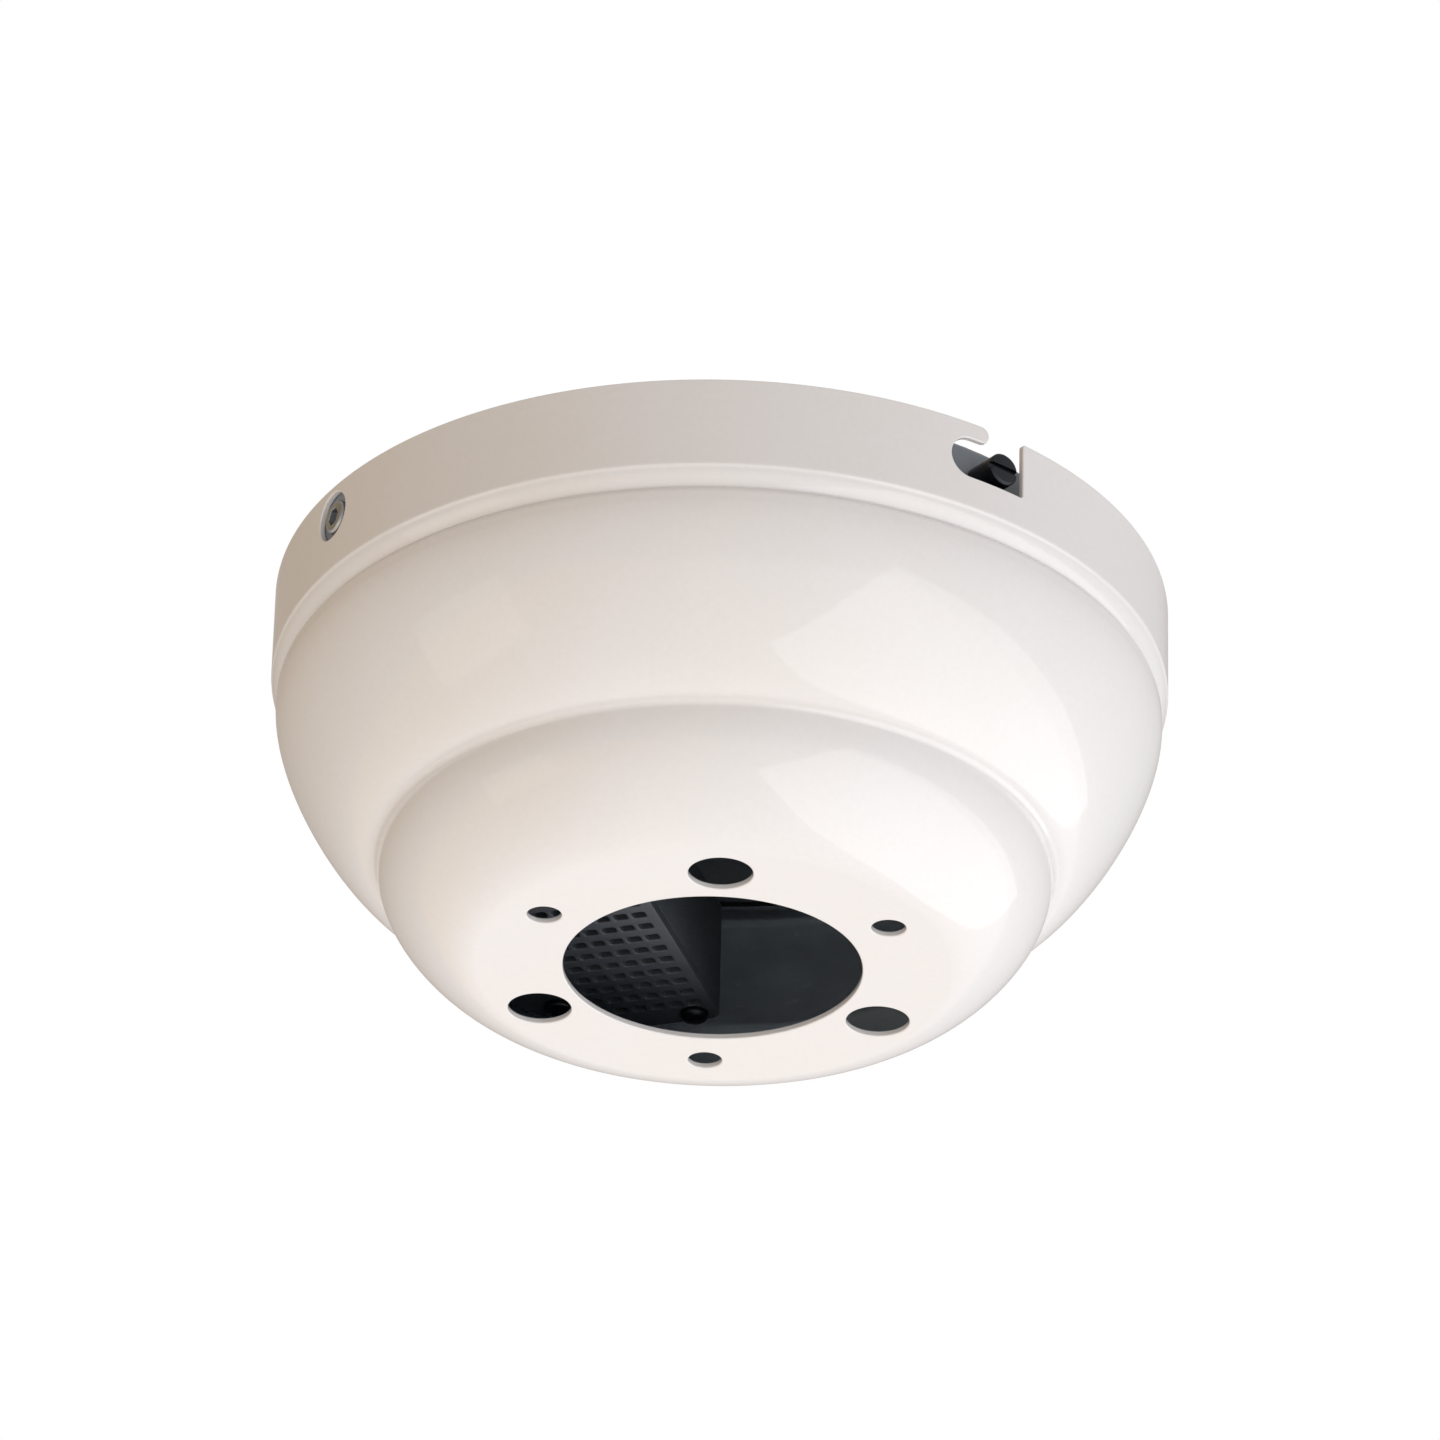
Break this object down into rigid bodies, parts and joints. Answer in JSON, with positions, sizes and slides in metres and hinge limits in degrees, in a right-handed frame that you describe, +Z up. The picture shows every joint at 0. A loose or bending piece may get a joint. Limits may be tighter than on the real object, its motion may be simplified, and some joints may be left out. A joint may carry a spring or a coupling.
{
  "type": "ceiling flush mount canopy",
  "caption": "White enamelled bowl-shaped ceiling canopy with a bayonet rim, side lock screws, a wire opening in its flat bottom, a hanger plate and a vented receiver inside.",
  "frame": {"origin": "middle of the hanger plate's ceiling face, at the middle of its outlet box slots", "axes": "+Z up into the ceiling, -Y the front, +X to the right seen from the front"},
  "size_m": [0.16, 0.16, 0.0725],
  "materials": {
    "enamel": "glossy baked enamel",
    "dark_steel": "satin electrophoretic coat",
    "black_zinc": "black zinc plated, satin",
    "zinc": "bright zinc plated",
    "green_zinc": "green dyed zinc plate",
    "nylon": "matte moulded nylon",
    "ring_rubber": "matte",
    "case_plastic": "fine spark texture",
    "board": "solder mask over glass laminate",
    "relay_plastic": "smooth moulded",
    "film": "smooth resin box",
    "sink_metal": "extruded, satin",
    "switch_body": "smooth moulded",
    "switch_slider": "smooth moulded",
    "terminal_plastic": "moulded"
  },
  "bodies": {
    "hanger": {"hanger_plate": "dark_steel", "receiver_bracket": "dark_steel", "wire_bushing": "nylon", "bayonet_stud_1": "black_zinc", "bayonet_stud_2": "black_zinc", "stud_nut_1": "zinc", "stud_nut_2": "zinc", "ground_washer": "zinc", "ground_screw": "green_zinc", "bracket_plate_screws": "zinc", "bracket_case_screws": "zinc", "receiver_case": "case_plastic", "receiver_lid": "case_plastic", "lid_screws": "black_zinc", "circuit_board": "board", "relays": "relay_plastic", "speed_capacitors": "film", "heat_sink": "sink_metal", "code_switch": "switch_body", "terminal_block": "terminal_plastic", "terminal_screws": "zinc"},
    "ring": {"slip_ring": "ring_rubber"},
    "canopy": {"canopy_shell": "enamel", "screw_bush_1": "dark_steel", "screw_bush_2": "dark_steel"},
    "pad_1": {"pressure_pad_1": "nylon"},
    "pad_2": {"pressure_pad_2": "nylon"},
    "screw_1": {"lock_screw_1": "zinc"},
    "screw_2": {"lock_screw_2": "zinc"},
    "slider_1": {"code_slider_1": "switch_slider"},
    "slider_2": {"code_slider_2": "switch_slider"},
    "slider_3": {"code_slider_3": "switch_slider"},
    "slider_4": {"code_slider_4": "switch_slider"}
  },
  "joints": [
    {"name": "canopy_twist", "type": "hinge", "parent": "hanger", "child": "ring", "pos_m": [0, 0, -0.015], "axis": [0, 0, 1], "range_deg": [0, 5.8]},
    {"name": "canopy_drop", "type": "slide", "parent": "ring", "child": "canopy", "axis": [0, 0, -1], "range_m": [0, 0.08]},
    {"name": "lock_travel_1", "type": "slide", "parent": "canopy", "child": "pad_1", "axis": [0.859, 0.512, 0], "range_m": [0, 0.00125]},
    {"name": "lock_turn_1", "type": "hinge", "parent": "pad_1", "child": "screw_1", "pos_m": [-0.06614, -0.03943, -0.0064], "axis": [0.859, 0.512, 0], "range_deg": [0, 450]},
    {"name": "lock_travel_2", "type": "slide", "parent": "canopy", "child": "pad_2", "axis": [-0.859, -0.512, 0], "range_m": [0, 0.00125]},
    {"name": "lock_turn_2", "type": "hinge", "parent": "pad_2", "child": "screw_2", "pos_m": [0.06614, 0.03943, -0.0064], "axis": [-0.859, -0.512, 0], "range_deg": [0, 450]},
    {"name": "code_slide_1", "type": "slide", "parent": "hanger", "child": "slider_1", "axis": [0.9553, -0.2957, 0], "range_m": [0, 0.0019]},
    {"name": "code_slide_2", "type": "slide", "parent": "hanger", "child": "slider_2", "axis": [0.9553, -0.2957, 0], "range_m": [0, 0.0019]},
    {"name": "code_slide_3", "type": "slide", "parent": "hanger", "child": "slider_3", "axis": [0.9553, -0.2957, 0], "range_m": [0, 0.0019]},
    {"name": "code_slide_4", "type": "slide", "parent": "hanger", "child": "slider_4", "axis": [0.9553, -0.2957, 0], "range_m": [0, 0.0019]}
  ],
  "couplings": [
    {"joint": "lock_turn_1", "follows": "lock_travel_1", "rad_per_m": 6283.2},
    {"joint": "lock_turn_2", "follows": "lock_travel_2", "rad_per_m": 6283.2}
  ]
}
